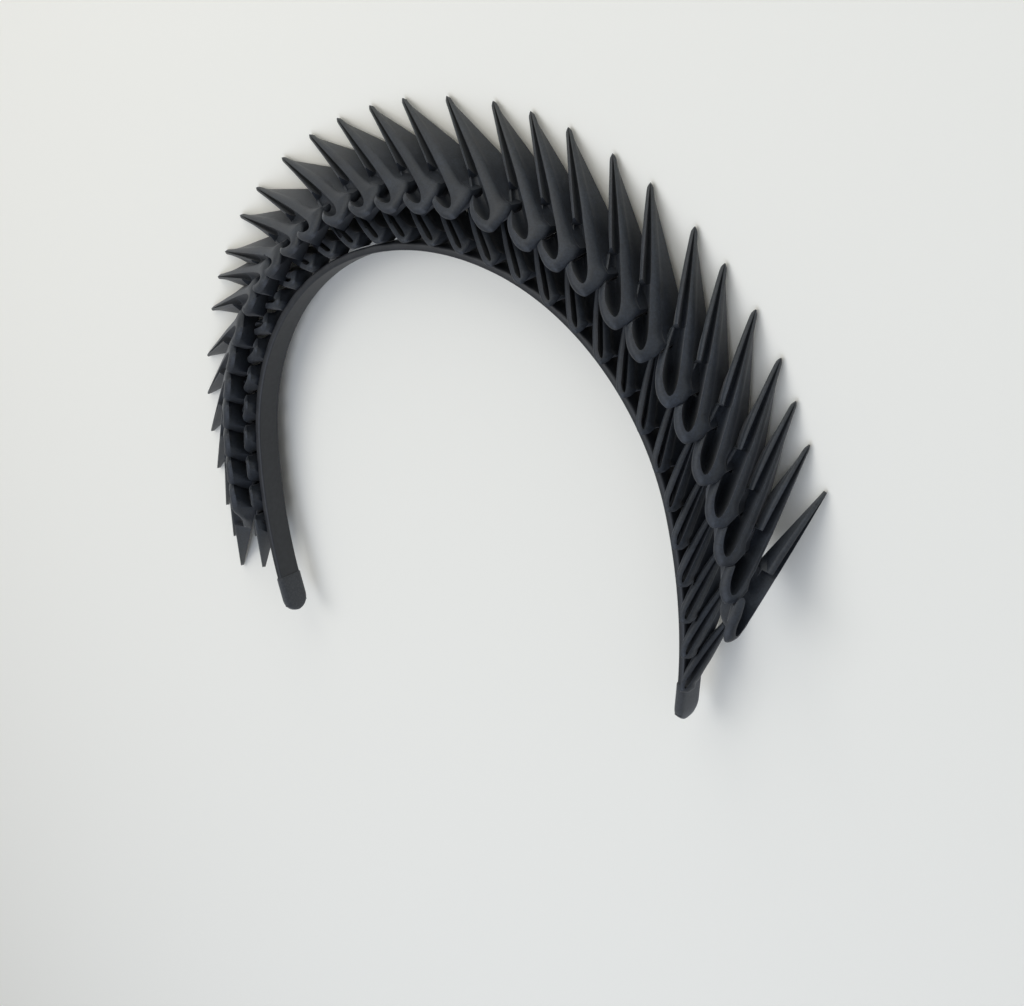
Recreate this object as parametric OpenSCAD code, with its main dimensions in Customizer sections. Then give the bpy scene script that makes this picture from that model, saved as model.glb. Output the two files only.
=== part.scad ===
// Origami headpiece: a stiff headband that carries two overlapping rows of folded spikes.
// It lies on its front edge. X points to the wearer's right, Y to the crown of the head,
// and Z to the back of the head. The origin is below the middle of the bounding box.

/* [Headband] */
// Radius of the inner face over the crown
crown_r = 80; // [70:1:100]
// Length of the crown's curve, measured from the middle to one side
crown_len = 28; // [20:1:40]
// Radius of the inner face at the shoulders of the curve
shoulder_r = 68.5; // [60:0.5:80]
// Length of each shoulder's curve
shoulder_len = 73; // [60:1:85]
// Radius of the inner face along the nearly straight sides
side_r = 140; // [110:5:300]
// Length of the inner face from the middle of the crown to one end
half_len = 153; // [147:0.5:156]
// Thickness of the band
band_t = 2; // [1.5:0.1:2.6]
// Width of the band from its back edge to its front edge
band_w = 7.4; // [7:0.2:9]

/* [End covers] */
// Length of a padded cover on the band's end
cover_len = 11; // [9:1:16]
// Thickness of the padding on each face of the band
cover_pad = 0.4; // [0.4:0.1:1]

/* [Large spikes] */
// Number of large spikes
spike_count = 30; // [24:1:30]
// Place of the first large spike, along the band from the crown to the right
spike_first = 125.8; // [120:0.2:128]
// Spacing of the large spikes on the sides
spike_pitch_side = 7.9; // [7.7:0.1:8.4]
// Spacing of the large spikes over the crown
spike_pitch_crown = 8.85; // [8.5:0.05:9.4]
// Half the width of a large spike over its two folded rims
spike_half_w = 5.8; // [5.2:0.1:6.2]
// How far a spike's right panel spreads to the side at its front edge
spike_flare = 11; // [9:0.5:12]
// Width of the left folded rim; the right one is broader
rim_w = 1.9; // [1.5:0.1:2.4]

/* [Small spikes] */
// Number of small spikes
small_count = 31; // [20:1:31]
// Place of the first small spike, along the band from the crown to the right
small_first = 144.6; // [140:0.2:146]
// Spacing of the small spikes
small_pitch = 8.97; // [8.9:0.01:9.2]
// Length of a small spike, most of it under the large ones
small_len = 26; // [22:1:27]
// Half the width of a small spike over its two folded rims
small_half_w = 2.9; // [2.4:0.1:3.2]
// How far a small spike's right panel spreads to the side at its front edge
small_flare = 7; // [4:0.5:8]

/* [Hidden] */
// Names of the large spikes
SPIKES = [for (i = [1:spike_count]) str("spike_", i < 10 ? "0" : "", i)];
// Names of all solids, and the one to build

// Clearance between a spike and the one tucked under it
gap = 0.2;
// Spacing of the points along the band's curve
curve_step = 2.5;
// Depth of the band's back edge behind the middle line, where depth grows to the front
back_edge = -5.8;
// How far a cover reaches past the end of the band
cover_over = 2;
// Depth of the spikes' points
tip_depth = 5.9;
// Half the thickness of a point
tip_half = 0.5;
// Depth of the foremost corner of the points, which the piece lies on
front_depth = 6.54;
// Shift across that brings the middle of the bounding box over the origin
centre_x = 0.497;
// Shift along the crown's axis for the same
centre_y = 38.255;
// Place in the middle of the upper row, and the length from there to its right end
row_middle = 35.5;
row_reach = 83;
// Length from the crown over which the spacing falls to that of the sides
crown_reach = 82;
// Half width that the corners of a spike's body are written down for
drawn_half = 5.8;
// Depth of a small spike from its cleft to its front edges
small_depth = 6;
// Width of the left folded rim of a small spike
small_rim = 0.45 * rim_w;
// How far a small spike reaches to the left and to the right of its place
small_left = 34;
small_right = 12;
// Place from which the small spikes lie under the large ones
roof_from = 30;

// Heading of the band's curve in degrees, at a length s from the crown
function heading_1(s) = min(s, crown_len) / crown_r * 180 / PI;
function heading_2(s) = heading_1(s)
    + max(min(s - crown_len, shoulder_len), 0) / shoulder_r * 180 / PI;
function heading_3(s) = heading_2(s) + max(s - crown_len - shoulder_len, 0) / side_r * 180 / PI;
function heading(s) = sign(s) * heading_3(abs(s));

// Place of the curve's point at a length s from the crown, across and up
function across(s) = crown_r * sin(heading_1(s))
    + shoulder_r * (sin(heading_2(s)) - sin(heading_1(s)))
    + side_r * (sin(heading_3(s)) - sin(heading_2(s)));
function drop(s) = crown_r * (1 - cos(heading_1(s)))
    + shoulder_r * (cos(heading_1(s)) - cos(heading_2(s)))
    + side_r * (cos(heading_2(s)) - cos(heading_3(s)));

// Point of the band's plane at a length s from the crown and a height above the inner face
function flat_at(s, height) = [
    centre_x + sign(s) * across(abs(s)) + height * sin(heading(s)),
    centre_y - drop(abs(s)) + height * cos(heading(s))
];

// Point in space. The local place v holds the way along the band to the right, the way to
// the front, and the way outwards from the inner face.
function at(s, v) = let (p = flat_at(s, v[2]), h = heading(s))
    [p[0] + v[0] * cos(h), p[1] - v[0] * sin(h), front_depth - v[1]];

// Outline of a strip that follows the band between two heights and two lengths
function strip_outline(low, high, from, to) = let (n = ceil((to - from) / curve_step))
    concat([for (i = [0:n]) flat_at(from + (to - from) * i / n, low)],
           [for (i = [n:-1:0]) flat_at(from + (to - from) * i / n, high)]);

// How far each large spike stands off its regular place, because the row is set by hand
uneven = [0.5, 0, 0, 0, 0, 0, 1, -0.5, 0, -0.5, 0.5, 1.5, 0.5, -1, -0.5, -0.5, 0, -0.5, -2, -1,
    -1.5, 1, 2];

// Places of the large spikes: each one lies a spacing further from the right end
function spacing(s) = spike_pitch_side
    + (spike_pitch_crown - spike_pitch_side) * cos(min(90, 90 * abs(s) / crown_reach));
function regular_place(i) = i <= 1 ? spike_first
    : let (s = regular_place(i - 1)) s - spacing(s);
function spike_place(i) = regular_place(i) + (i <= len(uneven) ? uneven[i - 1] : 0);

// How far a place lies from the middle of the upper row, from 1 on the right to -0.9
function reach(s) = max((s - row_middle) / row_reach, -0.9);

// Base and point of a large spike in the local frame
function spike_base(s) = [0, -12.3 - 1.15 * reach(s), 14.8 + 5.9 * reach(s)];
function spike_tip(s) = [-35.3 + 1.7 * reach(s), tip_depth, 30.4 + 0.9 * reach(s)];

// Base and point of a small spike in the local frame, parallel to the large ones
function small_base(s) = [0, -8.5, 3.6];
function small_tip(s) = small_base(s) + small_len * unit(spike_tip(s) - spike_base(s));

// How far the first spikes are turned about their own axes, which shows their left sides
function twist(i) = i < 4 ? 40 / pow(4, i - 1) : 0;

function unit(v) = v / norm(v);

// Frame of a spike: its axis, the way that its cleft faces, and its right side
cleft_way = [-0.154, -0.727, 0.669];
function axis_of(base, tip) = unit(tip - base);
function facing(a, turn) = let (o = unit(cleft_way - (cleft_way * a) * a), l = cross(a, o))
    o * cos(turn) + l * sin(turn);

// Turns places given along the axis, outwards and to the right into points in space
function placed(points, s, base, tip, turn) =
    let (a = axis_of(base, tip), o = facing(a, turn), l = cross(a, o))
    [for (p = points) at(s, base + a * p[0] + o * p[1] + l * p[2])];

// Corners of a spike's body: the rounded stern, the rims, the point and the front edges.
// The left rim lies half a width from the axis, and the right one may lie closer. A turned
// body is cut back in front, so that its front edges stay behind the spikes on its left.
function body_points(long, depth, half, right, flare, turn) =
    let (k = half / drawn_half, r = right / half, back = turn / 40) [
    [0, 0, 1.4 * k * r], [0, 0, -1.4 * k],
    [0.5 * k, -1.6 * k, 1.2 * k * r], [0.5 * k, -1.6 * k, -1.2 * k],
    [1.7 * k, -0.2, 3.7 * k * r], [1.7 * k, -0.2, -3.7 * k],
    [5.3 * k, -1.6 * k, 5.7 * k * r], [5.3 * k, -1.6 * k, -5.7 * k],
    [9.5 * k, 0, right], [9.5 * k, 0, -half],
    [long, tip_half, 0.3], [long, tip_half, -0.3],
    [long, -tip_half, 0.5], [long, -tip_half, -0.5],
    [8 * k + 4 * back, -depth * (1 - 0.3 * back), flare - 2 * back],
    [8 * k + 4 * back, -depth * (1 - 0.4 * back), -0.7 * half * (1 - 0.75 * back)]
];

// Corners of the cleft between the rims, the right one of which is the broader
function cleft_points(long, depth, half, right, rim) = let (k = half / drawn_half) [
    [rim * 1.1, 1.5, 0.3 * k], [rim * 1.1, 1.5, -1.1 * k],
    [8 * k, 1.5, right - 1.8 * rim], [8 * k, 1.5, rim - half],
    [long - 2, 1.5, 0.15], [long - 2.4, 1.5, -0.15],
    [6.5 * k, -0.5 * depth, 0.9 * k], [6.5 * k, -0.5 * depth, 0],
    [0.6 * long, -0.16 * depth, 0.3 * k], [0.6 * long, -0.16 * depth, -0.2]
];

// Corners of the space that the next spike fills or hides, with the clearance around it and
// a further one over its front edges. It goes on under the spike and to the left of it.
function shadow_points(points, depth, more) =
    let (under = depth + 8, beside = 12, bow = 14,
        long = [for (p = points) p[0] + (p[0] < bow ? -gap : gap)],
        high = [for (p = points) p[1] + gap + (p[1] < -depth / 2 ? more : 0)]) concat(
    [for (i = [0:len(points) - 1]) [long[i], high[i], points[i][2] + gap]],
    [for (i = [0:len(points) - 1]) [long[i], -under, points[i][2] + gap]],
    [for (i = [0:len(points) - 1]) [points[i][0] - gap, high[i], points[i][2] - beside]]
);

// Corners of the space over the small spikes that a large one with these front edges fills
function roof_points(long, depth, left, right) = [
    for (lift = [0, 9]) for (p = [[-gap, -2, 4.8], [-gap, -2, -4.8], [7.8, -depth, right + gap],
        [7.8, -depth, left - gap], [long, -1, 0.8], [long, -1, -0.8]]) p + [0, lift - 1.5 * gap, 0]
];

// Convex solid on a list of points
module solid(points) {
    hull() polyhedron(points, [for (i = [1:len(points) - 2]) [0, i, i + 1]]);
}

// Depth of a large spike, which shrinks with its height above the band
function spike_depth(s) = 3 + 0.42 * spike_base(s)[2];

// Half width of large spike i on its right, which is narrower towards the right end
function right_half(i) = spike_half_w * (1 - 0.25 * max(reach(spike_place(i)), 0) - twist(i) / 200);

// How far the right panel of a large spike spreads, which is less towards the right end
function spread(s) = spike_flare - 4.2 * max(reach(s), -0.5);

// Base, point and body of large spike i
function base_of(i) = spike_base(spike_place(i)) - [0, 0, 0.025 * twist(i)];
function tip_of(i) = spike_tip(spike_place(i)) + [0, 0, 0.05 * twist(i)];
function body_of(i) = let (s = spike_place(i)) body_points(norm(tip_of(i) - base_of(i)),
    spike_depth(s), spike_half_w, right_half(i), spread(s), twist(i));

// Large spike i, without what the next one takes from it
module spike(i) {
    s = spike_place(i);
    cleft = cleft_points(norm(tip_of(i) - base_of(i)), spike_depth(s), spike_half_w,
        right_half(i), rim_w);
    color("#2b2e33")
    difference() {
        solid(placed(body_of(i), s, base_of(i), tip_of(i), twist(i)));
        solid(placed(cleft, s, base_of(i), tip_of(i), twist(i)));
        if (i < spike_count) spike_shadow(i + 1);
    }
}

// Space that large spike i takes from the one before it
module spike_shadow(i) {
    s = spike_place(i);
    points = shadow_points(body_of(i), spike_depth(s), 0);
    solid(placed(points, s, base_of(i), tip_of(i), twist(i)));
}

// Space that large spike i takes from the small ones under it
module spike_roof(i) {
    s = spike_place(i);
    points = roof_points(norm(tip_of(i) - base_of(i)), spike_depth(s), -spike_half_w, spread(s));
    solid(placed(points, s, base_of(i), tip_of(i), twist(i)));
}

// Place of small spike i, and its body, which spreads less on the first few
function small_place(i) = small_first - small_pitch * (i - 1);
function small_body(i) = body_points(small_len, small_depth, small_half_w, small_half_w,
    min(small_flare, 1.6 + 2 * i), 0);

// Small spike i, trimmed by the next one and kept clear of the band and the large spikes
module small_spike(i) {
    s = small_place(i);
    base = small_base(s);
    tip = small_tip(s);
    cleft = cleft_points(small_len, small_depth, small_half_w, small_half_w, small_rim);
    covered = s > half_len - cover_len || s < small_left - half_len;
    clear = band_t + gap + (covered ? cover_pad : 0);
    difference() {
        solid(placed(small_body(i), s, base, tip, 0));
        solid(placed(cleft, s, base, tip, 0));
        if (i < small_count) small_shadow(i + 1);
        if (s < roof_from) for (j = [1:spike_count]) {
            if (abs(spike_place(j) - s + 6) < 20) spike_roof(j);
        }
        solid([for (v = [-small_left, small_right], d = [-20, 20], h = [-14, clear]) at(s, [v, d, h])]);
    }
}

// Space that small spike i takes from the one before it
module small_shadow(i) {
    s = small_place(i);
    points = shadow_points(small_body(i), small_depth, 0.5);
    solid(placed(points, s, small_base(s), small_tip(s), 0));
}

// Row of small spikes next to the head
module lower_row() {
    color("#2b2e33")
    for (i = [1:small_count]) small_spike(i);
}

// Stiff horseshoe strip
module band() {
    color("#1f2125")
    translate([0, 0, front_depth - back_edge - band_w])
    linear_extrude(band_w)
    polygon(strip_outline(0, band_t, -half_len, half_len));
}

// Padded cover over the end of the band, on the right for side 1 and on the left for -1
module end_cover(side) {
    end = half_len + cover_over;
    middle = front_depth - back_edge - band_w / 2;
    wide = band_w + 2 * cover_pad;
    color("#26282c")
    difference() {
        intersection() {
            translate([0, 0, middle - wide / 2])
            linear_extrude(wide)
            polygon(strip_outline(-cover_pad, band_t + cover_pad,
                side > 0 ? end - cover_len : -end, side > 0 ? end : cover_len - end));
            cover_blank(side * (end - wide / 2), side, middle, wide);
        }
        translate([0, 0, middle - band_w / 2 - gap])
        linear_extrude(band_w + 2 * gap)
        polygon(strip_outline(-gap, band_t + gap,
            side > 0 ? end - 2 * cover_len : -half_len - gap,
            side > 0 ? half_len + gap : 2 * cover_len - end));
    }
}

// Rounded end of a cover, seen square to the band's face
module cover_blank(s, side, middle, wide) {
    p = flat_at(s, band_t / 2);
    translate([p[0], p[1], middle])
    rotate([0, 0, -heading(s)])
    rotate([90, 0, 0])
    linear_extrude(40, center = true) {
        circle(d = wide, $fn = 48);
        translate([side > 0 ? -2 * cover_len : 0, -wide / 2]) square([2 * cover_len, wide]);
    }
}

band();
end_cover(1);  // end_cover_right
end_cover(-1);  // end_cover_left
lower_row();
for (i = [1:spike_count]) spike(i);
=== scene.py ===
"""Looks of the origami headpiece: folded spikes with rolled rims, a band and padded covers."""
import math

import bmesh
import bpy
from mathutils import Matrix, Vector


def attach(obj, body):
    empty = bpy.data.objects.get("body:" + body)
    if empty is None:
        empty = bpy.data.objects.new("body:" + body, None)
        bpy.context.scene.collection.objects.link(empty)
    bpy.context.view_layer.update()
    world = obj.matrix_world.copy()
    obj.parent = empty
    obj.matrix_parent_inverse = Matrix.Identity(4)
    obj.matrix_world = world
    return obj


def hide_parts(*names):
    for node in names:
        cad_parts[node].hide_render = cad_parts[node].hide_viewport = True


MM = 0.001

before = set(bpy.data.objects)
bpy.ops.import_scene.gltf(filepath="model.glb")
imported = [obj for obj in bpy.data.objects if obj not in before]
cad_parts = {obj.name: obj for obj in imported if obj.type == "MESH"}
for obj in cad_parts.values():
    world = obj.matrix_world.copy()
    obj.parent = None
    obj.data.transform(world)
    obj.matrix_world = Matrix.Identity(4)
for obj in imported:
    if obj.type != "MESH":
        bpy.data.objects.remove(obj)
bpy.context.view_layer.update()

# The rules of the solids, in mm

# The band's curve: radius and length of its three arcs, and its whole length on one side
CROWN_R, CROWN_LEN = 80, 28
SHOULDER_R, SHOULDER_LEN = 68.5, 73
SIDE_R = 140
HALF_LEN = 153
# The band's section, and the depths of its back edge and of the points that the piece lies on
BAND_T, BAND_W = 2, 7.4
BACK_EDGE, FRONT_DEPTH = -5.8, 6.54
# Shift that brings the middle of the whole piece over the origin
CENTRE_X, CENTRE_Y = 0.497, 38.255
# Length of an end cover, thickness of its padding, and how far it goes past the band's end
COVER_LEN, COVER_PAD, COVER_OVER = 11, 0.4, 2
# Clearance between pieces that lie on each other
GAP = 0.2
# Large spikes: their number, the place of the first one, and their spacing
SPIKES, SPIKE_FIRST = 30, 125.8
PITCH_SIDE, PITCH_CROWN, CROWN_REACH = 7.9, 8.85, 82
# Half their width, and how far the right panel spreads at the front
SPIKE_HALF, SPIKE_FLARE = 5.8, 11
# Turn of the first large spike about its axis in degrees, how many spikes are turned, and how
# many times less each one is turned than the one before
FIRST_TURN, TURNED, TURN_LESS = 40, 3, 4
# Middle of the upper row, the length from there to its right end, and the least reach to the left
ROW_MIDDLE, ROW_REACH, LEAST_REACH = 35.5, 83, -0.9
# Depth and height of a large spike's stern in the middle of the row, and how they change on the
# way to the right end
STERN_AT, STERN_CHANGE = (-12.3, 14.8), (-1.15, 5.9)
# Place across and height of its point there, and how they change
TIP_AT, TIP_CHANGE = (-35.3, 30.4), (1.7, 0.9)
# Depth of the points, and half their thickness
TIP_DEPTH, TIP_HALF = 5.9, 0.5
# Depth of a large spike from its cleft to its front edges: at the band, and more with its height
DEPTH_START, DEPTH_MORE = 3, 0.42
# How far each degree of turn lowers the stern and lifts the point, and the turn at which the
# right side would be gone
TURN_SINK, TURN_LIFT, TURN_GONE = 0.025, 0.05, 200
# How much narrower the right side is at the right end, how much less its panel spreads there,
# and the reach from which it spreads less
RIGHT_LESS, FLARE_LESS, FLARE_FROM = 0.25, 4.2, -0.5
# Small spikes: their number, the place of the first one, their spacing and their sizes
SMALL, SMALL_FIRST, SMALL_PITCH = 31, 144.6, 8.97
SMALL_LEN, SMALL_HALF, SMALL_FLARE, SMALL_DEPTH = 26, 2.9, 7, 6
SMALL_STERN = Vector((0, -8.5, 3.6))
# Spread of the right panel of the small spikes at the right end: at first, and more for each one
FLARE_START, FLARE_MORE = 1.6, 2
# How far a small spike reaches to the left and to the right of its place
SMALL_LEFT, SMALL_RIGHT = 34, 12
# Place from which the small spikes lie under the large ones, and which large ones lie over one
ROOF_FROM, ROOF_SHIFT, ROOF_REACH = 30, 6, 20
# Height of the space that a large spike takes from the small ones
ROOF_HEIGHT = 9
# Depth and height of the box that keeps a small spike clear of the band
BOX_DEPTH, BOX_BELOW = 20, 14
# The way that the clefts face
CLEFT_WAY = Vector((-0.154, -0.727, 0.669))
# How far each large spike stands off its regular place, because the row is set by hand
UNEVEN = [0.5, 0, 0, 0, 0, 0, 1, -0.5, 0, -0.5, 0.5, 1.5, 0.5, -1, -0.5, -0.5, 0, -0.5, -2, -1,
          -1.5, 1, 2]


def turns(s):
    """Headings of the band's three arcs at a length s from the crown."""
    one = min(s, CROWN_LEN) / CROWN_R
    two = one + max(min(s - CROWN_LEN, SHOULDER_LEN), 0) / SHOULDER_R
    return one, two, two + max(s - CROWN_LEN - SHOULDER_LEN, 0) / SIDE_R


def heading(s):
    """Heading of the band's curve at a length s from the crown, negative on the left."""
    return math.copysign(turns(abs(s))[2], s)


def flat_at(s, height):
    """Point of the band's plane at a length s from the crown and a height above the inner face."""
    one, two, three = turns(abs(s))
    across = (CROWN_R * math.sin(one) + SHOULDER_R * (math.sin(two) - math.sin(one))
              + SIDE_R * (math.sin(three) - math.sin(two)))
    drop = (CROWN_R * (1 - math.cos(one)) + SHOULDER_R * (math.cos(one) - math.cos(two))
            + SIDE_R * (math.cos(two) - math.cos(three)))
    h = math.copysign(three, s)
    return (CENTRE_X + math.copysign(across, s) + height * math.sin(h),
            CENTRE_Y - drop + height * math.cos(h))


def at(s, v):
    """Point in space, in metres, of the local place v: to the right, to the front, outwards."""
    x, y = flat_at(s, v[2])
    h = heading(s)
    return Vector((x + v[0] * math.cos(h), y - v[0] * math.sin(h), FRONT_DEPTH - v[1])) * MM


def spike_places():
    """Lengths from the crown at which the large spikes stand, from the right end on."""
    places = [SPIKE_FIRST]
    for _ in range(SPIKES - 1):
        s = places[-1]
        fall = math.cos(min(math.pi / 2, math.pi / 2 * abs(s) / CROWN_REACH))
        places.append(s - PITCH_SIDE - (PITCH_CROWN - PITCH_SIDE) * fall)
    return [s + (UNEVEN[i] if i < len(UNEVEN) else 0) for i, s in enumerate(places)]


def reach(s):
    """How far a place lies from the middle of the upper row, as a share, from 1 on the right."""
    return max((s - ROW_MIDDLE) / ROW_REACH, LEAST_REACH)


def spike_base(s):
    """Middle of a large spike's stern in the local frame, as in the solids."""
    return Vector((0, *[v + more * reach(s) for v, more in zip(STERN_AT, STERN_CHANGE)]))


def spike_tip(s):
    """Point of a large spike in the local frame, as in the solids."""
    across, height = [v + more * reach(s) for v, more in zip(TIP_AT, TIP_CHANGE)]
    return Vector((across, TIP_DEPTH, height))


class Spike:
    """One folded spike: its frame and its named sizes, the same as those of its solid."""

    def __init__(self, s, base, tip, half, right, flare, depth, turn=0, small=False):
        self.s, self.base, self.small = s, base, small
        self.half, self.flare, self.depth = half, flare, depth
        self.len = (tip - base).length
        # its size against that of a large spike, its right side's against its left, and its turn
        self.k, self.r, self.back = half / SPIKE_HALF, right / half, turn / FIRST_TURN
        self.axis = (tip - base).normalized()
        way = (CLEFT_WAY - self.axis * CLEFT_WAY.dot(self.axis)).normalized()
        side = self.axis.cross(way)
        self.up = way * math.cos(math.radians(turn)) + side * math.sin(math.radians(turn))
        self.across = self.axis.cross(self.up)

    def place(self, p):
        """Point in space of a place given along the axis, up out of the cleft and to the right."""
        return at(self.s, self.base + self.axis * p[0] + self.up * p[1] + self.across * p[2])

    def front(self, side):
        """Front corner of the body on one side, as in the solids: a turned one is cut back."""
        x = 8 * self.k + 4 * self.back
        if side > 0:
            return (x, -self.depth * (1 - 0.3 * self.back), self.flare - 2 * self.back)
        return (x, -self.depth * (1 - 0.4 * self.back), -0.7 * self.half * (1 - 0.75 * self.back))

    def shadow(self):
        """Convex bodies that fill the space this spike's folds take from the one before it."""
        sides = profiles(self)
        bodies, ends = [], [sum(STEPS[:n]) for n in PARTS] + [sum(STEPS)]
        for start, end in zip(ends, ends[1:]):
            low, high = [], []
            for row in [row for rows in sides for row in rows[start:end + 1]]:
                for p in row[FOOT:]:
                    long = p[0] + (-SLIT if p[0] < LOW_TURN else SLIT)
                    low += [(long, p[1] + SLIT, p[2] + w) for w in (SLIT, -LEFTWARD)]
                foot, top = row[FOOT], max(p[1] for p in row) + GAP
                long = foot[0] + (-GAP if foot[0] < HIGH_STERN
                                  else GAP if foot[0] > self.len - HIGH_POINT else 0)
                high += [(long, v, foot[2] + w)
                         for v in (top, foot[1] - SLIT) for w in (GAP, -LEFTWARD)]
            bodies += [low, high]
        return [[self.place(p) for p in points] for points in bodies]

    def roof(self):
        """Corners of the space over the small spikes that this one fills, as in the solids."""
        right, left = self.flare + GAP, -self.half - GAP
        low = [(-GAP, -2, 4.8), (-GAP, -2, -4.8), (7.8, -self.depth, right),
               (7.8, -self.depth, left), (self.len, -1, 0.8), (self.len, -1, -0.8)]
        return [self.place((p[0], p[1] + lift - 1.5 * GAP, p[2])) for lift in (0, ROOF_HEIGHT)
                for p in low]


def large_spikes():
    """The large spikes from right to left, with the sizes of their solids."""
    out = []
    for i, s in enumerate(spike_places()):
        turn = FIRST_TURN / TURN_LESS ** i if i < TURNED else 0
        base = spike_base(s)
        depth = DEPTH_START + DEPTH_MORE * base[2]
        base = base - Vector((0, 0, TURN_SINK * turn))
        tip = spike_tip(s) + Vector((0, 0, TURN_LIFT * turn))
        right = SPIKE_HALF * (1 - RIGHT_LESS * max(reach(s), 0) - turn / TURN_GONE)
        flare = SPIKE_FLARE - FLARE_LESS * max(reach(s), FLARE_FROM)
        out.append(Spike(s, base, tip, SPIKE_HALF, right, flare, depth, turn=turn))
    return out


def small_spikes():
    """The small spikes from right to left, parallel to the large ones."""
    out = []
    for i in range(SMALL):
        s = SMALL_FIRST - SMALL_PITCH * i
        tip = SMALL_STERN + (spike_tip(s) - spike_base(s)).normalized() * SMALL_LEN
        flare = min(SMALL_FLARE, FLARE_START + FLARE_MORE * (i + 1))
        out.append(Spike(s, SMALL_STERN, tip, SMALL_HALF, SMALL_HALF, flare, SMALL_DEPTH,
                         small=True))
    return out


# The folds of one spike

# The tables below are in mm for a large spike, with one entry for each station from the middle
# of the stern to the point. A small spike has them scaled down.
# Stations: the lengths along the stern, then shares of the rest, which starts at STERN_END
STERN = [0.45, 0.95, 2, 3.4, 5.1, 7.5, 10]
REST = [0.065, 0.235, 0.242, 0.39, 0.62, 0.85, 0.965, 1]
STERN_END = 12
# The first lengths of the rim's inner edge and of the cleft's bottom, which curve round the stern
RIM_START = [3, 3.1, 3.6, 4.6, 6]
CLEFT_START = [3.7, 3.8, 4.5, 5.5, 6.8, 8.2]
# Lengths from which the top rises to the point's and from which the front edges run to the point
TOP_FROM, EDGE_FROM = 9.5, 6.5
# Outer foot of the rolled rim: out from the axis and down from the top, on the left
LEFT_FOOT = [(-0.9, -1.6), (-2, -1.6), (-3, -1.65), (-3.8, -1.7), (-4.3, -1.75), (-4.6, -1.7),
             (-4.6, -1.6), (-4.2, -1.5), (-2.7, -1.3), (-2.8, -1.2), (-2.4, -1.1), (-1.8, -0.8),
             (-1.15, -0.5), (-0.75, -0.3), (0, -0.3)]
# The same on the right, where the rim spreads to a pointed corner
RIGHT_FOOT = [(-0.9, -1.6), (0.5, -1.6), (2.5, -1.7), (4.3, -1.8), (5.7, -1.95), (4.6, -1.7),
              (3.9, -1.5), (3.6, -1.4), (3.4, -1.35), (3.38, -1.35), (2.9, -1.2), (2.1, -0.9),
              (1.2, -0.5), (0.75, -0.3), (0, -0.3)]
# Inner edge of the rim, out from the axis, on the left and on the right
LEFT_RIM = [-0.8, -1.1, -1.6, -2.2, -2.7, -3, -3, -2.7, -1.8, -0.9, -0.7, -0.45, -0.2, -0.05, 0]
RIGHT_RIM = [-0.8, -0.5, -0.1, 0.3, 0.6, 0.75, 0.85, 0.9, 0.85, 0.84, 0.7, 0.45, 0.2, 0.05, 0]
# Left foot and rim of the small spikes from the waist on, where the cleft stays open for longer
SMALL_FOOT = [(-4.7, -1.6), (-4.7, -1.5), (-4.4, -1.4), (-4.38, -1.4), (-3.9, -1.3), (-2.6, -0.9),
              (-1.2, -0.5), (-0.65, -0.3), (0, -0.3)]
SMALL_RIM = [-2.9, -2.8, -2.5, -2.48, -2, -1.1, -0.4, -0.08, 0]
# Bottom of the cleft: out from the axis, and its depth as a share of the spike's
CLEFT = [(-0.8, 0.34), (-0.85, 0.39), (-1, 0.5), (-1.15, 0.59), (-1.3, 0.64), (-1.35, 0.66),
         (-1.25, 0.62), (-1, 0.5), (-0.6, 0.4), (-0.3, 0.4), (-0.15, 0.32), (-0.05, 0.23),
         (0, 0.11), (0, 0.02), (0, 0)]
# How far the left rim of a large spike dips up to its notch, where the next spike lies over it
DIP = [0, 0, 0, 0, 0, 0, 0.8, 2.4, 2.6]
# How far the flank stands back under the rim's foot, which leaves a lip round the stern, and the
# largest share of the roll's width that it may
LIP = [0.9, 0.9, 0.7, 0.3, 0.05]
LIP_MOST = 0.5
# Share of the front edge, from its middle to its corner, at which the stern's flanks end
FRONT = [0, 0.3, 0.6, 0.85, 1]
# Points between the stations. The notch in the left rim lies between two that almost meet
STEPS = [3, 3, 3, 3, 3, 3, 3, 4, 1, 4, 4, 4, 3, 2]
NOTCH = (8, 9)
CORNER, WAIST = 4, 6
# How much narrower the left foot of a large spike is from the notch on: beside the crown, at it
STRIP = [(0.35, 0.5), (0.2, 0.5), (0.05, 0.5), (0, 0.4), (0, 0.2), (0, 0)]
# How much wider its cleft is beside the crown, for each station from the notch on
OPENING = 0.2
# Stations at which the right corner is weaker beside the crown, and by how much
WEAK, WEAKER = (3, 4, 5), 0.18
# Beside the crown the right foot lies up to twice as deep: the station from which it does, and
# the numbers of stations over which that comes at the stern and goes at the point
STEEP_FROM, STEEP_OVER, STEEP_END = 2, 3, 2
# How much closer to the axis the rims of a small spike lie, on the left and on the right
SMALL_ROLL = (0.27, 0.54)
# Reach below the middle of the row at which the folds start to change to those on the right
CROWN_SHARE = 0.35

# Points of a profile up the wall and over the roll; the last of them is the foot
WALL, ROLL = 5, 6
FOOT = WALL + ROLL
# How far the wall's curve goes on flat at the bottom and upright at the rim
WALL_PULL, WALL_RISE = 0.6, 0.15
# Fullness of the roll at the crown, how much less it is beside it, and how much more on the left
FULL, LESS_BESIDE, MORE_LEFT = 0.62, 0.2, 0.08
# Points from the stern and from the point over which the two sides come to one fullness
EVEN_STERN, EVEN_POINT = 9, 4
# How far the roll already falls at the rim, and still falls at the foot
ROLL_DROP, ROLL_REST = 0.08, 0.05
# Points down the flank, by share, and how much that of a small spike hangs before it spreads
FLANK = (0, 0.2, 0.4, 0.7, 1)
SMALL_HANG = 0.96

# Stations at which the space that one spike takes from the one before it is split into bodies
PARTS = (0, 2, 4, 5, 6, 7, 9)
# Clearance under the folds, and how far those bodies reach to the left
SLIT, LEFTWARD = 0.04, 1
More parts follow.
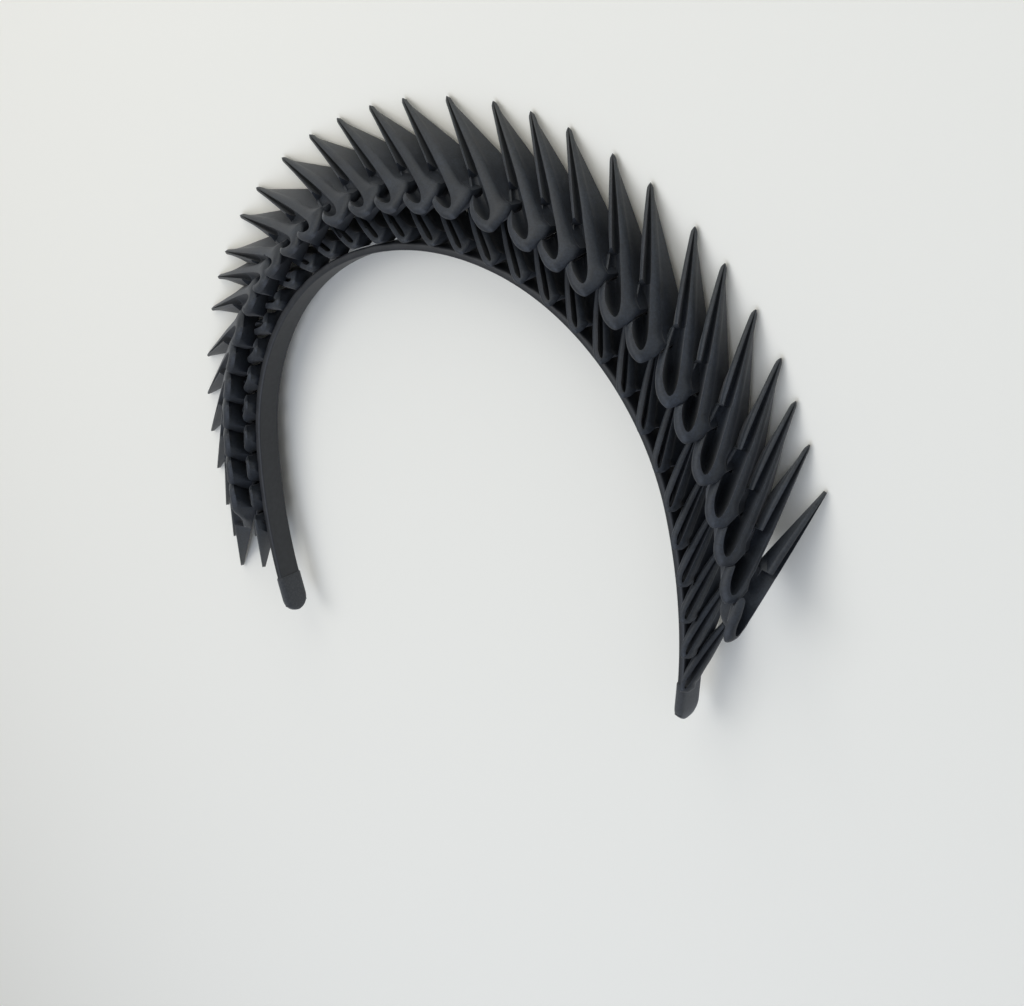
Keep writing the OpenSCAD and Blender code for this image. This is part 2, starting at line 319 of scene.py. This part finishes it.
# Up to this length the lower bodies are widened to the stern, and from there on to the point
LOW_TURN = 14
# Lengths at the stern and at the point over which the upper bodies are widened
HIGH_STERN, HIGH_POINT = 8, 5
# Places that round to the same one on this scale are one corner of the mesh
KEYS_PER_MM = 1e4
# Angle in radians up to which faces of a body to cut with are one flat face
FLAT = 0.001


def through(points, steps, breaks=(), before=None):
    """Smooth line through points, with its ends and its breaks as corners."""
    points = [Vector(p) for p in points]
    out = [points[0]]
    for i, n in enumerate(steps):
        p1, p2 = points[i], points[i + 1]
        p0 = points[i - 1] if i > 0 else (Vector(before) if before else p1)
        p3 = points[i + 2] if i + 2 < len(points) else p2
        if i in breaks:
            p0 = p1
        if i + 1 in breaks:
            p3 = p2
        for j in range(1, n + 1):
            t = j / n
            out.append(0.5 * (2 * p1 + (p2 - p0) * t + (2 * p0 - 5 * p1 + 4 * p2 - p3) * t * t
                              + (3 * p1 - p0 - 3 * p2 + p3) * t ** 3))
    return out


def curve4(p0, p1, p2, p3, n):
    """Points of a smooth arc from p0 to p3 that leaves along p1 and comes in along p2."""
    return [p0 * (1 - t) ** 3 + p1 * (3 * t * (1 - t) ** 2) + p2 * (3 * t * t * (1 - t))
            + p3 * t ** 3 for t in [j / n for j in range(n + 1)]]


def beside(s):
    """How far a place lies beside the crown: 0 at the crown and left of it, 1 well to the right."""
    return min(max(CROWN_SHARE + reach(s), 0), 1)


def fold_tables(spike, right):
    """Foot and rim of one side of a spike, changed for its row and for its place in the row."""
    aside = beside(spike.s)
    foot, rim = (RIGHT_FOOT, RIGHT_RIM) if right else (LEFT_FOOT, LEFT_RIM)
    if spike.small:
        if not right:
            foot, rim = foot[:WAIST] + SMALL_FOOT, rim[:WAIST] + SMALL_RIM
        rim = rim[:1] + [v * (1 - SMALL_ROLL[right]) for v in rim[1:]]
    else:
        rim = [v * (1 + OPENING * aside * max(0, i - NOTCH[0])) for i, v in enumerate(rim)]
        if not right:
            foot = foot[:NOTCH[1]] + [(v * (1 - low - (high - low) * (1 - aside)), o)
                                      for (v, o), (low, high) in zip(foot[NOTCH[1]:], STRIP)]
    if right:
        last = len(foot) - 1
        steep = [min(1, max(0, i - STEEP_FROM) / STEEP_OVER, (last - i) / STEEP_END)
                 for i in range(last + 1)]
        foot = [(v * (1 - WEAKER * aside * (i in WEAK)), o * (1 + aside * steep[i]))
                for i, (v, o) in enumerate(foot)]
    return foot, rim


def lines(spike):
    """The lines of each side from stern to point: foot, rim, cleft's bottom, front edge and lip."""
    k, n, aside, count = spike.k, spike.len, beside(spike.s), len(CLEFT)

    def share(a, start):
        """Share of the way from a start to the point at the length a."""
        return max(0, (a - start * k) / (n - start * k))

    def wide(v):
        """A table's value across the spike, which may be narrower on the right."""
        return v * k * (spike.r if v > 0 else 1)

    along = [a * k for a in STERN] + [STERN_END * k + f * (n - STERN_END * k) for f in REST]
    top = [TIP_HALF * share(a, TOP_FROM) for a in along]
    inner = [a * k for a in RIM_START] + along[len(RIM_START):]
    deep = [a * k for a in CLEFT_START] + along[len(CLEFT_START):]
    cleft = through([(deep[i], top[i] - low * spike.depth, v * k)
                     for i, (v, low) in enumerate(CLEFT)], STEPS, NOTCH)
    lips = through([(lip, 0, 0) for lip in LIP + [0] * (count - len(LIP))], STEPS)
    middle = (Vector(spike.front(1)) + Vector(spike.front(-1))) / 2
    end = Vector((n, -TIP_HALF, 0))
    out = []
    for right in (False, True):
        foot, rim = fold_tables(spike, right)
        dip = [0] * count
        if not right and not spike.small:
            dip[:len(DIP)] = [v * k for v in DIP]
        feet = [(along[i], top[i] + o * k - dip[i], wide(v)) for i, (v, o) in enumerate(foot)]
        rims = [(inner[i], top[i] - dip[i], wide(v)) for i, v in enumerate(rim)]
        # beside the crown the two sides meet in a round stern, and at the crown in a pointed one
        (v, o), w = (LEFT_FOOT[1], LEFT_RIM[1]) if right else (RIGHT_FOOT[1], RIGHT_RIM[1])
        before = Vector(feet[0]).lerp((along[1], o * k, v * k), aside)
        before_rim = Vector(rims[0]).lerp((inner[1], 0, w * k), aside)
        corner = Vector(spike.front(1 if right else -1))
        front = [middle.lerp(corner, f) for f in FRONT]
        front += [corner.lerp(end, share(a, EDGE_FROM)) for a in along[len(FRONT):]]
        out.append((through(feet, STEPS, (*NOTCH, CORNER) if right else NOTCH, before),
                    through(rims, STEPS, NOTCH, before_rim), cleft,
                    through(front, STEPS, range(len(front))), lips))
    return out


def profiles(spike):
    """Cross profiles of both sides: up the cleft's wall, over the rim and down the flank."""
    out, even = [], FULL - LESS_BESIDE * beside(spike.s)
    for side, (feet, rims, cleft, front, lips) in zip((-1, 1), lines(spike)):
        rows, last = [], len(feet) - 1
        for j, (foot, rim, low, edge, lip) in enumerate(zip(feet, rims, cleft, front, lips)):
            rise = rim - low
            flat = Vector((rise[0], WALL_RISE * rise[1], rise[2]))
            wall = curve4(low, low + flat * WALL_PULL,
                          rim - Vector((0, rise[1] * WALL_PULL, 0)), rim, WALL)
            fall = Vector((0, rim[1] - foot[1], 0))
            out_way = Vector((foot[0] - rim[0], 0, foot[2] - rim[2]))
            full = even - side * MORE_LEFT * min(1, j / EVEN_STERN, (last - j) / EVEN_POINT)
            roll = curve4(rim, rim + out_way * full + fall * ROLL_DROP,
                          foot + fall * (full - ROLL_REST), foot, ROLL)
            back = min(lip[0] * spike.k, LIP_MOST * out_way.length)
            under = foot - out_way.normalized() * back if out_way.length > 0 else foot
            hang = Vector((0, 0, (under[2] - edge[2]) * SMALL_HANG if spike.small else 0))
            flank = [under.lerp(edge, t) + hang * t * (1 - t) for t in FLANK]
            rows.append(wall[:-1] + roll + flank)
        out.append(rows)
    return out


# Meshes

def stored(name, mesh):
    """Mesh data from a working mesh, with all its faces turned outwards."""
    bmesh.ops.recalc_face_normals(mesh, faces=mesh.faces)
    data = bpy.data.meshes.new(name)
    mesh.to_mesh(data)
    mesh.free()
    return data


def closed_mesh(name, spike):
    """The spike's whole skin as a closed mesh: two folded sides and the face between them."""
    left, right = profiles(spike)
    mesh, seen = bmesh.new(), {}

    def vert(p):
        key = tuple(round(x * KEYS_PER_MM) for x in p)
        if key not in seen:
            seen[key] = mesh.verts.new(spike.place(p))
        return seen[key]

    def face(points):
        ring = []
        for v in map(vert, points):
            if v not in ring:
                ring.append(v)
        if len(ring) > 2:
            mesh.faces.new(ring)

    last = len(left[0]) - 1
    for rows, flip in ((left, False), (right, True)):
        for a, b in zip(rows, rows[1:]):
            for v in range(last):
                quad = [a[v], a[v + 1], b[v + 1], b[v]]
                face(quad[::-1] if flip else quad)
    for (a, b), (c, d) in zip(zip(left, left[1:]), zip(right, right[1:])):
        face([a[last], c[last], d[last], b[last]])
    return stored(name, mesh)


def convex(points):
    """Convex body on a list of points, used to cut with."""
    mesh = bmesh.new()
    for p in points:
        mesh.verts.new(p)
    made = bmesh.ops.convex_hull(mesh, input=mesh.verts)
    spare = [v for v in set(made["geom_interior"] + made["geom_unused"])
             if isinstance(v, bmesh.types.BMVert)]
    bmesh.ops.delete(mesh, geom=spare, context="VERTS")
    bmesh.ops.dissolve_limit(mesh, angle_limit=FLAT, verts=mesh.verts, edges=mesh.edges)
    bmesh.ops.triangulate(mesh, faces=mesh.faces)
    return stored("cutter", mesh)


def add(name, data):
    """Adds an object to the scene."""
    made = bpy.data.objects.new(name, data)
    bpy.context.scene.collection.objects.link(made)
    return made


def largest(data):
    """Keeps the largest connected part of a mesh, without the crumbs that the cuts leave."""
    mesh = bmesh.new()
    mesh.from_mesh(data)
    left, best = set(mesh.verts), []
    while left:
        stack, part = [left.pop()], []
        while stack:
            part.append(stack.pop())
            for edge in part[-1].link_edges:
                other = edge.other_vert(part[-1])
                if other in left:
                    left.discard(other)
                    stack.append(other)
        best = max(best, part, key=len)
    kept = set(best)
    bmesh.ops.delete(mesh, geom=[v for v in mesh.verts if v not in kept], context="VERTS")
    mesh.to_mesh(data)
    mesh.free()


def cut(jobs):
    """Cuts each mesh with its convex bodies and returns what is left of each.

    The solver leaves a mesh that isn't closed as it was, so every mesh here has to be closed.
    """
    bodies, tools, out = [], [], []
    for data, cutters in jobs:
        body = add("body", data)
        for points in cutters:
            tool = add("cutter", convex(points))
            step = body.modifiers.new("cut", "BOOLEAN")
            step.object, step.operation, step.solver = tool, "DIFFERENCE", "MANIFOLD"
            tools.append(tool)
        bodies.append(body)
    graph = bpy.context.evaluated_depsgraph_get()
    for body in bodies:
        data = bpy.data.meshes.new_from_object(body.evaluated_get(graph))
        largest(data)
        out.append(data)
    for thing in bodies + tools:
        bpy.data.objects.remove(thing)
    return out


def row_of(spikes, more=lambda spike: []):
    """Meshes of a row of spikes, each cut by the next one's bodies and by those that more gives."""
    shadows = [spike.shadow() for spike in spikes[1:]] + [[]]
    return cut([(closed_mesh("spike", spike), shadow + more(spike))
                for spike, shadow in zip(spikes, shadows)])


def merged(name, meshes):
    """One mesh from several."""
    whole = bmesh.new()
    for data in meshes:
        whole.from_mesh(data)
    data = bpy.data.meshes.new(name)
    whole.to_mesh(data)
    whole.free()
    return data


def mark_points(data, tips, span):
    """Gives each corner of a mesh its nearness to a point, from 0 to 1 over a span in mm."""
    near = data.attributes.new("nearness", "FLOAT", "POINT")
    for v, entry in zip(data.vertices, near.data):
        entry.value = max(0, 1 - min((v.co - tip).length for tip in tips) / (span * MM))


def smooth(data, angle):
    """Smooth shading that keeps edges sharper than the angle, in degrees."""
    for p in data.polygons:
        p.use_smooth = True
    data.set_sharp_from_angle(angle=math.radians(angle))


# Materials

def colour(text):
    """Linear colour of an sRGB hex value."""
    parts = [int(text[i:i + 2], 16) / 255 for i in (1, 3, 5)]
    return (*[c / 12.92 if c <= 0.04045 else ((c + 0.055) / 1.055) ** 2.4 for c in parts], 1)


def fit(tree, made, settings=None, links=None, stops=()):
    """Sets a node's properties, inputs and colour stops, and links its inputs."""
    for name, value in (settings or {}).items():
        if isinstance(name, int) or name in made.inputs and not hasattr(made, name):
            made.inputs[name].default_value = value
        else:
            setattr(made, name, value)
    for name, source in (links or {}).items():
        tree.links.new(source, made.inputs[name])
    if stops:
        elements = made.color_ramp.elements
        while len(elements) < len(stops):
            elements.new(0.5)
        for element, (place, text) in zip(elements, stops):
            element.position, element.color = place, colour(text)


def node(tree, kind, output, *given, **more):
    """Adds a shader node with its settings and links, and returns one of its outputs."""
    made = tree.nodes.new("ShaderNode" + kind)
    fit(tree, made, *given, **more)
    return made.outputs[output]


def scale(size):
    """Scale of a noise whose patches are about this size, in mm."""
    return 1 / (size * MM)


def material(name):
    """New material, its node tree and its shader."""
    made = bpy.data.materials.new(name)
    made.use_nodes = True
    tree = made.node_tree
    return made, tree, tree.nodes["Principled BSDF"]


def folded_paper():
    """Stiff charcoal paper, dyed and folded. Clouds, flecks and a dull sheen tell of its fibre.

    The folds are painted paler towards each point, as a painted highlight. The real grain of about
    0.1 mm is too fine to show, so it is drawn at 0.55 mm. The clouds of uneven dye are 7.7 mm wide.
    """
    made, tree, shader = material("folded_paper")
    place = {"Vector": node(tree, "TexCoord", "Object")}
    cloudy = node(tree, "TexNoise", "Fac",
                  {"Scale": scale(7.7), "Detail": 5, "Roughness": 0.65}, place)
    grain = node(tree, "TexNoise", "Fac",
                 {"Scale": scale(0.55), "Detail": 3, "Roughness": 0.6}, place)
    near = node(tree, "Attribute", "Fac", {"attribute_name": "nearness"})
    dyed = node(tree, "ValToRGB", "Color", links={0: cloudy},
                stops=[(0.25, "#191e25"), (0.5, "#232931"), (0.75, "#2d343e")])
    # Painted highlight: the paper is mixed towards a pale olive near each point
    tip_light_share = node(tree, "ValToRGB", "Color", links={0: near},
                stops=[(0, "#000000"), (0.3, "#3c3c3c"), (0.6, "#707070"), (1, "#b0b0b0")])
    flecks = node(tree, "ValToRGB", "Color", links={0: grain},
                  stops=[(0.36, "#c4c4c4"), (0.64, "#ffffff")])
    painted_tip_light = node(tree, "Mix", 2, {"data_type": "RGBA", "blend_type": "MIX", 7: colour("#4a4b46")},
                  {0: tip_light_share, 6: dyed})
    base = node(tree, "Mix", 2, {"data_type": "RGBA", "blend_type": "MULTIPLY", 0: 1},
                {6: painted_tip_light, 7: flecks})
    rough = node(tree, "MapRange", "Result",
                 {"From Min": 0.3, "From Max": 0.7, "To Min": 0.5, "To Max": 0.6},
                 {"Value": cloudy})
    bump = node(tree, "Bump", "Normal", {"Strength": 0.25, "Distance": 0.06 * MM},
                {"Height": grain})
    fit(tree, shader, {"IOR": 1.5, "Sheen Weight": 0.16, "Sheen Roughness": 0.4},
        {"Base Color": base, "Roughness": rough, "Normal": bump})
    return made


def moulded_abs():
    """The band's ABS, moulded. Its even, satin dark tone sets the stiff strip off from the paper.

    The moulded grain of about 0.2 mm is too fine to show and is drawn at 1.4 mm.
    """
    made, tree, shader = material("moulded_abs")
    place = {"Vector": node(tree, "TexCoord", "Object")}
    fine = node(tree, "TexNoise", "Fac", {"Scale": scale(1.4), "Detail": 3}, place)
    base = node(tree, "ValToRGB", "Color", links={0: fine},
                stops=[(0.3, "#1d1f22"), (0.7, "#24262a")])
    bump = node(tree, "Bump", "Normal", {"Strength": 0.2, "Distance": 0.05 * MM}, {"Height": fine})
    fit(tree, shader, {"Roughness": 0.5, "IOR": 1.49}, {"Base Color": base, "Normal": bump})
    return made


def felted_polyester():
    """The covers' grey polyester, felted. Its nap and pale, fuzzy edge tell that they are soft.

    The nap of about 0.1 mm is too fine to show and is drawn at 0.55 mm.
    """
    made, tree, shader = material("felted_polyester")
    place = {"Vector": node(tree, "TexCoord", "Object")}
    nap = node(tree, "TexNoise", "Fac",
               {"Scale": scale(0.55), "Detail": 4, "Roughness": 0.7}, place)
    base = node(tree, "ValToRGB", "Color", links={0: nap},
                stops=[(0.3, "#26282b"), (0.7, "#3a3d41")])
    bump = node(tree, "Bump", "Normal", {"Strength": 0.6, "Distance": 0.15 * MM}, {"Height": nap})
    fit(tree, shader, {"Roughness": 0.9, "IOR": 1.5, "Sheen Weight": 0.3, "Sheen Roughness": 0.5},
        {"Base Color": base, "Normal": bump})
    return made


def painted_board():
    """The floor's board, painted. It is plain and matt, so that the eye rests on the piece."""
    made, tree, shader = material("painted_board")
    fit(tree, shader, {"Base Color": colour("#ebe9e1"), "Roughness": 0.9})
    return made


# Band and covers

# Spacing of the band's sections along its curve, and the radius of its edges
BAND_STEP, BAND_ROUND = 2.0, 0.6
# Lengths of a cover's first sections from its open end, and the share of padding at the first
COVER_OPEN, OPEN_PAD = (0, 0.3, 1.5), 0.55
# Sections round a cover's end, and points in each section
COVER_ROUND, COVER_RING = 10, 28
# Powers that square off a cover's section in height and in depth, and that thin its round end
SQUARE_H, SQUARE_D, THIN = 0.75, 0.35, 0.5
# Share of the width below which the round end gets no thinner
THIN_LEAST = 0.25


def join(mesh, rings):
    """Faces between rings of corners."""
    for a, b in zip(rings, rings[1:]):
        for j in range(len(a)):
            k = (j + 1) % len(a)
            mesh.faces.new((a[j], a[k], b[k], b[j]))


def strip(name, start, end, section):
    """Closed strip along the band's curve, with a section of (height, depth) points in mm."""
    mesh = bmesh.new()
    count = math.ceil((end - start) / BAND_STEP)
    rings = [[mesh.verts.new(at(start + (end - start) * i / count, (0, d, h))) for h, d in section]
             for i in range(count + 1)]
    join(mesh, rings)
    mesh.faces.new(rings[0][::-1])
    mesh.faces.new(rings[-1])
    return stored(name, mesh)


def rounded(low, high, back, front, r, n=4):
    """Section with rounded corners between two heights and two depths."""
    out = []
    for h, d, turn in ((high - r, front - r, 0), (low + r, front - r, 1),
                       (low + r, back + r, 2), (high - r, back + r, 3)):
        for j in range(n + 1):
            t = (turn + j / n) * math.pi / 2
            out.append((h + r * math.cos(t), d + r * math.sin(t)))
    return out


def cover_mesh(name, side):
    """Soft rounded cap over the band's end, closest to the band at its open end."""
    end = HALF_LEN + COVER_OVER
    back, front = BACK_EDGE - COVER_PAD, BACK_EDGE + BAND_W + COVER_PAD
    middle, radius = (back + front) / 2, (front - back) / 2
    mesh, rings = bmesh.new(), []
    # sections along the cover: its place, width and thickness near the open end and round the end
    spans = [(end - COVER_LEN + x, 1, 1) for x in COVER_OPEN]
    spans += [(end - radius + radius * math.sin(t), math.cos(t),
               max(math.cos(t), THIN_LEAST) ** THIN)
              for t in [j / COVER_ROUND * math.pi / 2 for j in range(COVER_ROUND)]]
    for i, (s, wide, thick) in enumerate(spans):
        pad = COVER_PAD * (OPEN_PAD if i == 0 else 1)
        half_t = (BAND_T / 2 + pad) * thick
        ring = []
        for j in range(COVER_RING):
            t = 2 * math.pi * j / COVER_RING
            c, q = math.cos(t), math.sin(t)
            h = BAND_T / 2 + half_t * math.copysign(abs(c) ** SQUARE_H, c)
            d = middle + (radius - COVER_PAD + pad) * wide * math.copysign(abs(q) ** SQUARE_D, q)
            ring.append(mesh.verts.new(at(side * s, (0, d, h))))
        rings.append(ring)
    tip = mesh.verts.new(at(side * end, (0, middle, BAND_T / 2)))
    join(mesh, rings)
    for j, corner in enumerate(rings[-1]):
        mesh.faces.new((corner, rings[-1][(j + 1) % COVER_RING], tip))
    mesh.faces.new(rings[0][::-1])
    return stored(name, mesh)


# Build the piece

# How far from its point a spike gets a painted highlight, in mm, in the large row and the small one
TIP_LIGHT_SPAN, TIP_LIGHT_SPAN_SMALL = 26, 8
# Angle in degrees from which an edge stays sharp, for the paper, the band and the covers
PAPER_SHARP, BAND_SHARP, COVER_SHARP = 38, 50, 60

paper, plastic, felt = folded_paper(), moulded_abs(), felted_polyester()


def finished(name, data, look, angle, node_name):
    """Shows a mesh in place of a node of the solids."""
    smooth(data, angle)
    data.materials.clear()
    data.materials.append(look)
    made = add(name, data)
    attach(made, "root")
    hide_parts(node_name)
    return made


large, small = large_spikes(), small_spikes()
for i, (spike, data) in enumerate(zip(large, row_of(large))):
    name = "spike_%02d" % (i + 1)
    mark_points(data, [spike.place((spike.len, 0, 0))], TIP_LIGHT_SPAN)
    finished("folded_" + name, data, paper, PAPER_SHARP, name)


def kept_clear(spike):
    """Bodies that keep a small spike clear of the large ones over it, the band and its covers."""
    roofs = [big.roof() for big in large
             if spike.s < ROOF_FROM and abs(big.s - spike.s + ROOF_SHIFT) < ROOF_REACH]
    covered = spike.s > HALF_LEN - COVER_LEN or spike.s < SMALL_LEFT - HALF_LEN
    clear = BAND_T + GAP + (COVER_PAD if covered else 0)
    return roofs + [[at(spike.s, (v, d, h)) for v in (-SMALL_LEFT, SMALL_RIGHT)
                     for d in (-BOX_DEPTH, BOX_DEPTH) for h in (-BOX_BELOW, clear)]]


row = merged("folded_row", row_of(small, kept_clear))
mark_points(row, [spike.place((spike.len, 0, 0)) for spike in small], TIP_LIGHT_SPAN_SMALL)
finished("folded_lower_row", row, paper, PAPER_SHARP, "lower_row")

section = rounded(0, BAND_T, BACK_EDGE, BACK_EDGE + BAND_W, BAND_ROUND)
band = strip("band", -HALF_LEN, HALF_LEN, section)
finished("rounded_band", band, plastic, BAND_SHARP, "band")
for side, name in ((1, "end_cover_right"), (-1, "end_cover_left")):
    soft = finished("padded_" + name, cover_mesh(name, side), felt, COVER_SHARP, name)

# Floor, light and camera, in m

# Camera at the photograph's angle to the piece, which lies on its front edges: its place, the
# ways that are right, up and away in the picture, and the picture's width and focal length
EYE = Vector((0.284297, 0.108455, 0.29384))
RIGHT = Vector((0.7544, -0.0986, -0.649))
UP = Vector((-0.1445, 0.9395, -0.3107))
AWAY = Vector((-0.6403, -0.3281, -0.6945))
PICTURE_WIDTH, FOCAL_LENGTH, SENSOR_MM = 1024, 1613.62, 36
# Half the width of the floor
FLOOR = 3
# Soft square lamps: place, aim, size, power in watts and tint. Two light the spikes from above
# and from the left. The weak one lifts the right end. The low one lights the sterns and the
# inner sides from below.
LAMPS = {
    "top": ((UP * 0.65 - RIGHT * 0.3 - AWAY * 0.6) * 0.85, (0, 0.01, 0), 0.6, 2.5, "#f8f8f4"),
    "left": ((-RIGHT * 0.9 - AWAY * 0.45) * 0.8, (0, 0.01, 0), 0.6, 2.5, "#f6f8fb"),
    "right": ((RIGHT * 0.55 + UP * 0.1 - AWAY * 0.85) * 0.55, (0.04, 0, 0), 0.5, 0.6, "#d6e5ff"),
    "low": ((-UP * 0.8 - RIGHT * 0.4 - AWAY * 0.45) * 0.8, (0.04, -0.01, 0), 0.6, 2.8, "#dce8ff")}

floor_data = bpy.data.meshes.new("floor")
floor_data.from_pydata([(x * FLOOR, y * FLOOR, 0) for x, y in ((-1, -1), (1, -1), (1, 1), (-1, 1))],
                       [], [(0, 1, 2, 3)])
floor_data.materials.append(painted_board())
add("floor", floor_data)

# The room's even light, a little warm
world = bpy.data.worlds.new("studio")
bpy.context.scene.world = world
world.use_nodes = True
fit(world.node_tree, world.node_tree.nodes["Background"],
    {"Color": colour("#f6f4ee"), "Strength": 0.32})

for name, (place, aim, size, power, tint) in LAMPS.items():
    light = bpy.data.lights.new(name, "AREA")
    light.shape, light.size, light.energy, light.color = "SQUARE", size, power, colour(tint)[:3]
    lamp = add(name, light)
    lamp.location = place
    lamp.rotation_mode = "QUATERNION"
    lamp.rotation_quaternion = (Vector(aim) - place).to_track_quat("-Z", "Y")

lens = bpy.data.cameras.new("camera")
lens.sensor_width = SENSOR_MM
lens.lens = FOCAL_LENGTH / PICTURE_WIDTH * SENSOR_MM
lens.clip_start, lens.clip_end = 0.01, 20
camera = add("camera", lens)
camera.matrix_world = Matrix([(*way, place) for way, place in zip(zip(RIGHT, UP, -AWAY), EYE)]
                             + [(0, 0, 0, 1)])
bpy.context.scene.camera = camera
bpy.context.scene.view_settings.view_transform = "Standard"
